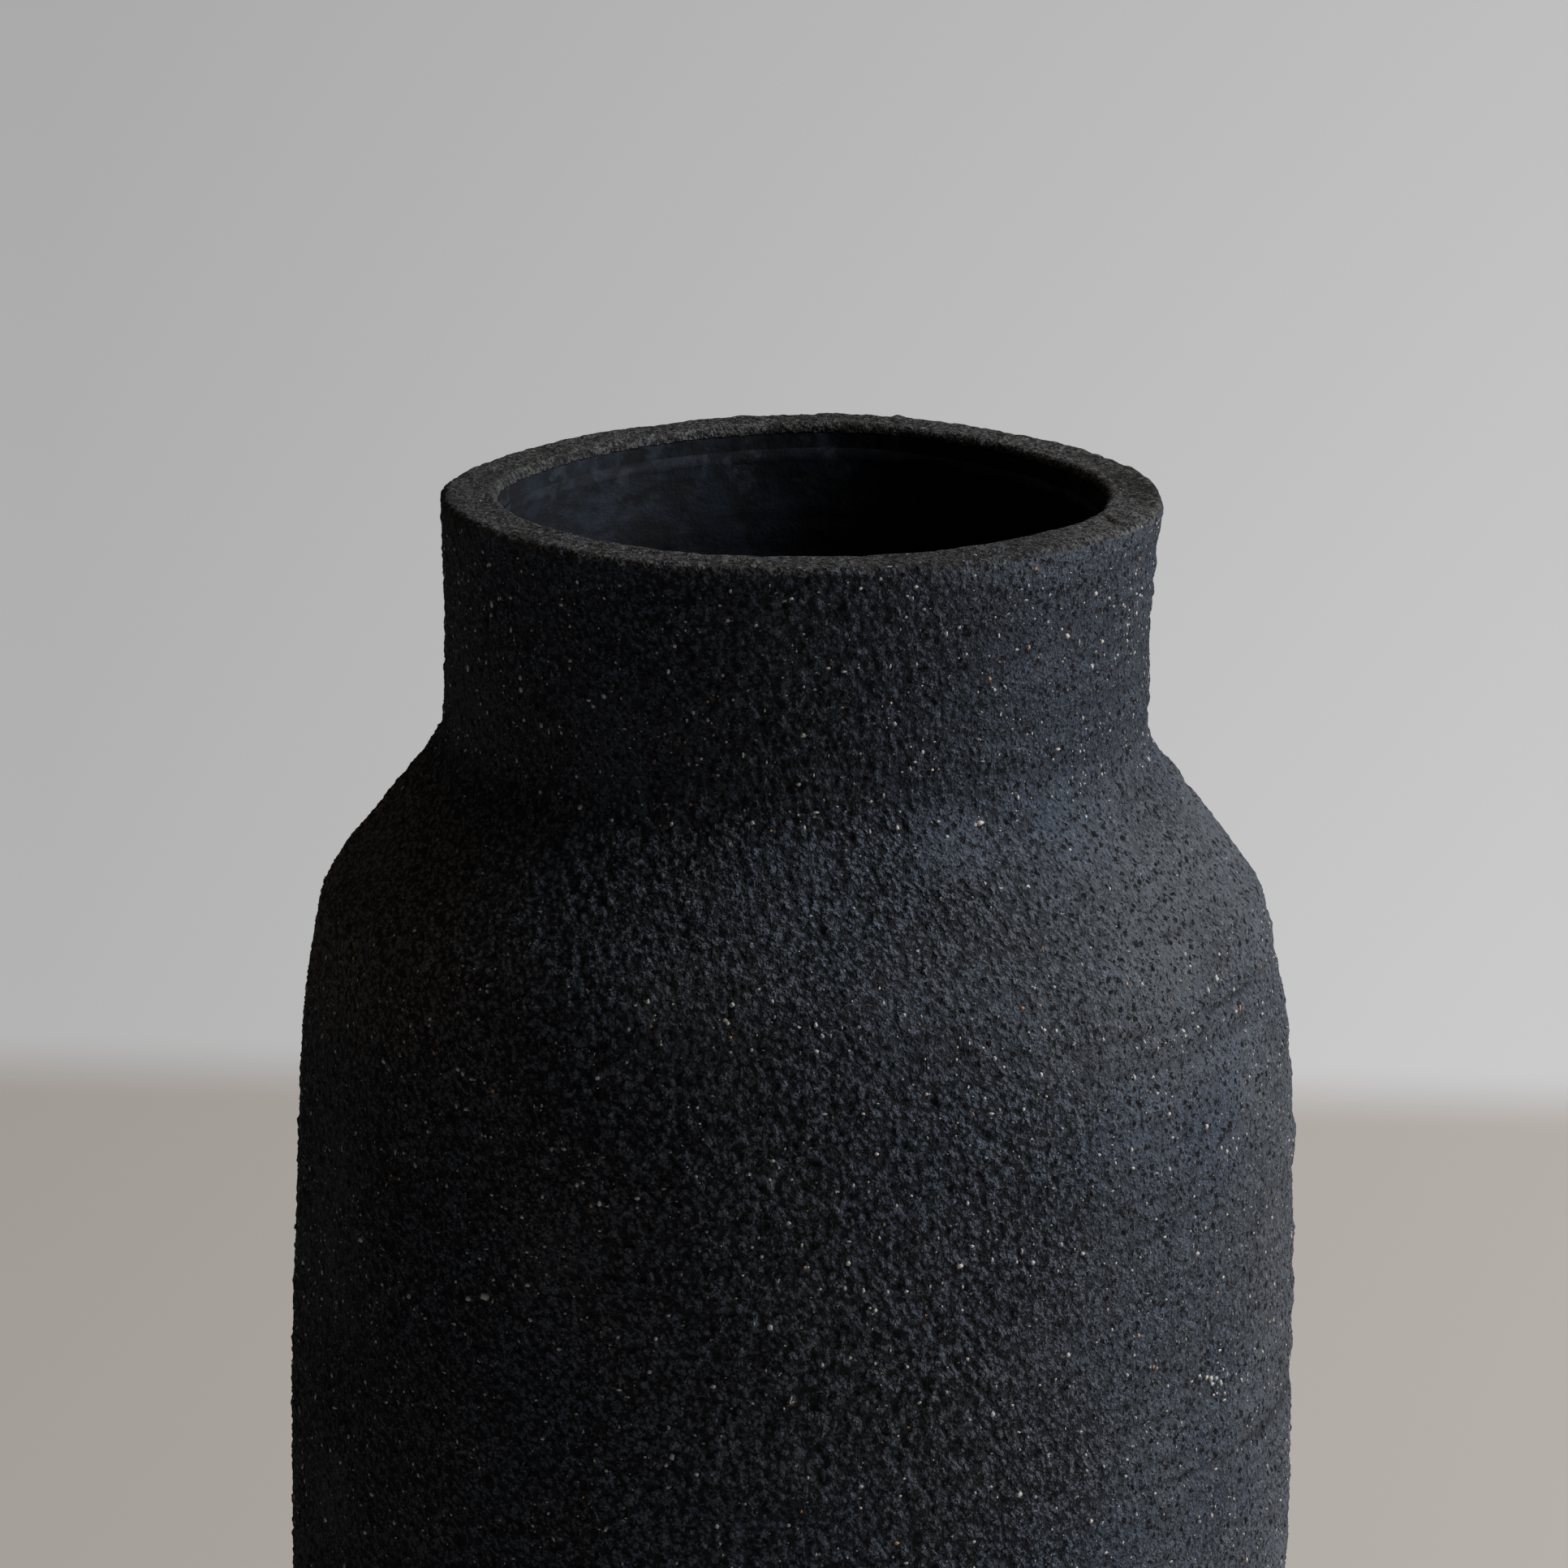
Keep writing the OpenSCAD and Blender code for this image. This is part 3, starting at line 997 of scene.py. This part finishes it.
def build_clay():
    """All the clay nodes as dense pieces, with the normals averaged where two skins meet."""
    pieces = [ClayPiece(node) for node in CLAY_NODES]
    shared = {}
    for clay in pieces:
        rows = clay.skin
        clay.normals = grid_normals(clay.grid[rows])
        for end in (0, -1):
            key = tuple(np.round(clay.outline[rows[end]], 3))
            shared.setdefault(key, []).append((clay, end))
    corner_normals = {clay.node: {} for clay in pieces}
    for meeting in shared.values():
        if len(meeting) != 2:
            continue
        average = unit(sum(clay.normals[end] for clay, end in meeting))
        for clay, end in meeting:
            corner_normals[clay.node][int(clay.skin[end])] = average
    for clay in pieces:
        set_corner_normals(clay.make().data, clay, corner_normals[clay.node])
    return pieces


def set_corner_normals(mesh, clay, rows):
    """Gives the rows where two pieces meet the normals of one whole skin."""
    wanted = np.zeros(clay.grid.shape, np.float32)
    for row, normals in rows.items():
        wanted[row] = normals
    mesh.normals_split_custom_set_from_vertices(vertex_rows(wanted, clay.closed))


def build_slip():
    """The slip coat: brushed, and thinned to nothing along an uneven line below the rim."""
    feather, sink = 11, 0.52
    outline, shown, closed = resampled("inner_liner")
    plain, azimuth = turned(outline, SLIP_COLUMNS)
    out = unit(np.stack([np.gradient(outline[:, 1]), -np.gradient(outline[:, 0])], -1))
    brushed = plain / np.array([14, 14, 1.3])
    field = 0.07 * noise(brushed, 71) + 0.07 * noise(plain / 5, 72) + 0.06 * noise(plain / 1.3, 73)
    field *= shown[:, None]
    edge = smooth(SLIP_EDGE - feather, SLIP_EDGE - 0.1, outline[:, 1])[:, None] * shown[:, None]
    field = field * (1 - edge) - edge * sink
    grid = wandered(moved(plain, azimuth, out, field), azimuth)
    mesh = mesh_from_grid("inner_liner", grid, closed)
    add_piece("inner_liner", mesh, MATERIALS["slip_liner"], ["inner_liner"])


def build_base_coil():
    """The coil of clay worked into the inside corner at the floor, under the slip."""
    outline, _, closed = resampled("base_coil")
    plain, azimuth = turned(outline, COIL_COLUMNS)
    dents = 0.15 * np.minimum(noise(plain / 6, 81), 0)
    grid = wandered(moved(plain, azimuth, unit(outline - outline.mean(0)), dents), azimuth)
    mesh = mesh_from_grid("base_coil", grid, closed)
    add_value(mesh, "hollow", np.zeros(len(mesh.vertices)))
    add_piece("base_coil", mesh, MATERIALS["black_stoneware"], ["base_coil"])


def grain_shape():
    """The corners and faces of a rough ball."""
    ball = bmesh.new()
    bmesh.ops.create_icosphere(ball, subdivisions=1, radius=1)
    corners = np.array([v.co for v in ball.verts])
    faces = np.array([[v.index for v in f.verts] for f in ball.faces])
    ball.free()
    return corners, faces


def grain_bodies(points, normals, sizes, random):
    """Rough flattened balls, half sunk in the skin at the points, each of its own size and proportions."""
    corners, faces = grain_shape()
    total = len(points)
    rough = 1 + 0.5 * (random.random((total, len(corners), 1)) - 0.5)
    stretch = 1 + 0.9 * (random.random((total, 1, 3)) - 0.5)
    local = corners[None] * rough * stretch * sizes[:, None, None]
    helper = np.where(np.abs(normals[:, 2:]) < 0.9, [[0, 0, 1.0]], [[1.0, 0, 0]])
    side = unit(np.cross(helper, normals))
    other = np.cross(normals, side)
    bodies = local[..., :1] * side[:, None] + local[..., 1:2] * other[:, None]
    bodies += 0.5 * local[..., 2:] * normals[:, None]
    bodies += (points - 0.05 * sizes[:, None] * normals)[:, None]
    all_faces = faces[None] + np.arange(total)[:, None, None] * len(corners)
    return bodies.reshape(-1, 3), all_faces.reshape(-1, 3)


def build_grains(name, pieces, count, smallest, largest, material, seed, fixed=()):
    """Grains in the outer skin, at random places and at the fixed ones: (height, azimuth, radius)."""
    random = np.random.default_rng(seed)
    skins = []
    for clay in pieces:
        out, _ = away_from_middle(clay.outline[clay.skin])
        rows = np.nonzero((out[:, 0] > 0.85) & (clay.outline[clay.skin][:, 1] > 1))[0]
        skins.append((clay.grid[clay.skin][rows].reshape(-1, 3), clay.normals[rows].reshape(-1, 3)))
    points = np.concatenate([p for p, _ in skins])
    normals = np.concatenate([n for _, n in skins])
    chosen = random.choice(len(points), count, replace=False)
    sizes = smallest + (largest - smallest) * random.random(count) ** 2.0
    for height, azimuth, size in fixed:
        chosen = np.append(chosen, lengths(points - place(height, azimuth)).argmin())
        sizes = np.append(sizes, size)
    vertices, faces = grain_bodies(points[chosen], normals[chosen], sizes, random)
    mesh = mesh_from_faces(name, vertices * MM, np.zeros((0, 4), int), faces)
    add_piece(name, mesh, material)


MATERIALS = {
    "black_stoneware": clay_material("black_stoneware", WARM, 1.0),
    "rim_clay": clay_material("rim_clay", WARM, 1.0, rim=True),
    "foot_clay": clay_material("foot_clay", FOOT_BROWN, 0.8),
    "slip_liner": slip_material(),
}

clay_pieces = build_clay()
build_base_coil()
build_slip()

# Grains at known places: (height, azimuth, radius)
CREAM_GRAINS = [
    (132.4, -35.6, 0.48), (131.1, -30.0, 0.34), (184.1, 29.2, 0.42), (165.9, 57.2, 0.38),
    (140.6, 25.6, 0.34), (140.6, 30.7, 0.34), (161.5, 46.0, 0.25), (161.7, 48.5, 0.27),
    (161.9, 51.0, 0.25), (162.4, 54.0, 0.28), (119.4, 51.4, 0.42), (118.5, 53.0, 0.38),
    (117.9, 53.7, 0.48), (117.2, 54.2, 0.40), (117.8, 55.3, 0.42), (116.8, 55.9, 0.46),
    (115.9, 55.2, 0.34), (115.2, 56.4, 0.44), (114.5, 56.1, 0.34), (118.6, 56.6, 0.24),
]
RUST_GRAINS = [(161.7, 63.8, 0.40), (208.5, 38.6, 0.38)]
cream = grog_material("cream_grog", colour(0.46, 0.42, 0.37), colour(0.30, 0.32, 0.34))
rust = grog_material("rust_grog", colour(0.40, 0.20, 0.08), colour(0.30, 0.18, 0.11))
build_grains("cream_grains", clay_pieces, 6800, 0.12, 0.34, cream, 91, CREAM_GRAINS)
build_grains("rust_grains", clay_pieces, 700, 0.10, 0.27, rust, 92, RUST_GRAINS)


# ---- stage, light and camera

def build_stage():
    """A pale floor that fades into the studio wall a little way behind the vase."""
    back, front, half_width, fade_depth = 0.48, -2.6, 3.0, 0.05
    sides, skew = (-half_width, half_width), math.radians(-3.0)
    across = np.array([math.cos(skew), math.sin(skew), 0])
    away = np.array([-across[1], across[0], 0])
    corners = [across * side + away * forward for forward in (front, back) for side in sides]
    mesh = bpy.data.meshes.new("floor")
    mesh.from_pydata([tuple(corner) for corner in corners], [], [(0, 1, 3, 2)])
    material, tree = new_material("floor")
    where = add(tree, "TexCoord").outputs["Object"]
    forward = add(tree, "VectorMath", {"operation": "DOT_PRODUCT"}, in_0=where, in_1=tuple(away))
    paint = add(
        tree, "BsdfPrincipled",
        Base_Color=colour(0.465, 0.434, 0.410), Roughness=0.9, Specular_IOR_Level=0.2,
    ).outputs[0]
    clear = add(tree, "BsdfTransparent").outputs[0]
    fade = ranged(tree, forward.outputs["Value"], back - fade_depth, back - 0.004)
    shader = add(tree, "MixShader", in_0=fade, in_1=paint, in_2=clear)
    add(tree, "OutputMaterial", Surface=shader.outputs[0])
    mesh.materials.append(material)
    floor = add_object("floor", mesh)


def build_world():
    """A pale studio wall far away, brighter to the right and lower down, that hardly lights the vase."""
    world = bpy.data.worlds.new("world")
    world.use_nodes = True
    tree = world.node_tree
    tree.nodes.clear()
    direction = add(tree, "TexCoord").outputs["Generated"]
    towards_right, _, upwards = add(tree, "SeparateXYZ", Vector=direction).outputs
    # painted light on the wall: brighter to the right and lower down
    side = ranged(tree, towards_right, -0.112, 0.115, 0.0, 1.0, "LINEAR")
    top = mixed(tree, side, colour(0.402, 0.402, 0.404), colour(0.520, 0.520, 0.525))
    bottom = mixed(tree, side, colour(0.458, 0.458, 0.461), colour(0.600, 0.600, 0.606))
    wall = mixed(tree, ranged(tree, upwards, -0.14, -0.30, 0.0, 1.0, "LINEAR"), top, bottom)
    seen = add(tree, "LightPath").outputs["Is Camera Ray"]
    shown = add(tree, "Background", Color=wall, Strength=1.0)
    faint = add(tree, "Background", Color=colour(1.0, 0.96, 0.92), Strength=0.002)
    either = add(tree, "MixShader", in_0=seen, in_1=faint.outputs[0], in_2=shown.outputs[0])
    add(tree, "OutputWorld", Surface=either.outputs[0])
    bpy.context.scene.world = world


def add_light(name, location, size, power, tone=(1, 1, 1)):
    """A soft rectangular light that faces the neck of the vase."""
    target = Vector((0, 0, 0.14))
    data = bpy.data.lights.new(name, "AREA")
    data.shape = "RECTANGLE"
    data.size, data.size_y = size
    data.energy = power
    data.color = tone
    light = add_object(name, data)
    light.location = location
    light.rotation_euler = (target - Vector(location)).to_track_quat("-Z", "Y").to_euler()


def add_camera():
    """A long lens in front of the vase and above it, looking down at the neck."""
    pitch, roll = math.radians(14.94), math.radians(0.54)
    data = bpy.data.cameras.new("camera")
    data.sensor_width = 36.0
    data.lens = 150.0
    data.clip_start, data.clip_end = 0.05, 20
    camera = add_object("camera", data)
    camera.location = (-0.0015, -0.7852, RIM_TOP * MM + 0.1719)
    level = Matrix.Rotation(math.radians(90) - pitch, 4, "X")
    camera.rotation_euler = (level @ Matrix.Rotation(roll, 4, "Z")).to_euler()
    bpy.context.scene.camera = camera


build_stage()
build_world()
add_light("window", (1.75, -0.01, 1.40), (1.6, 1.4), 76)
add_light("fill", (-0.2, 0.3, 2.1), (1.2, 1.2), 4.2, (1.0, 0.84, 0.66))
add_camera()
bpy.context.scene.view_settings.view_transform = "Standard"
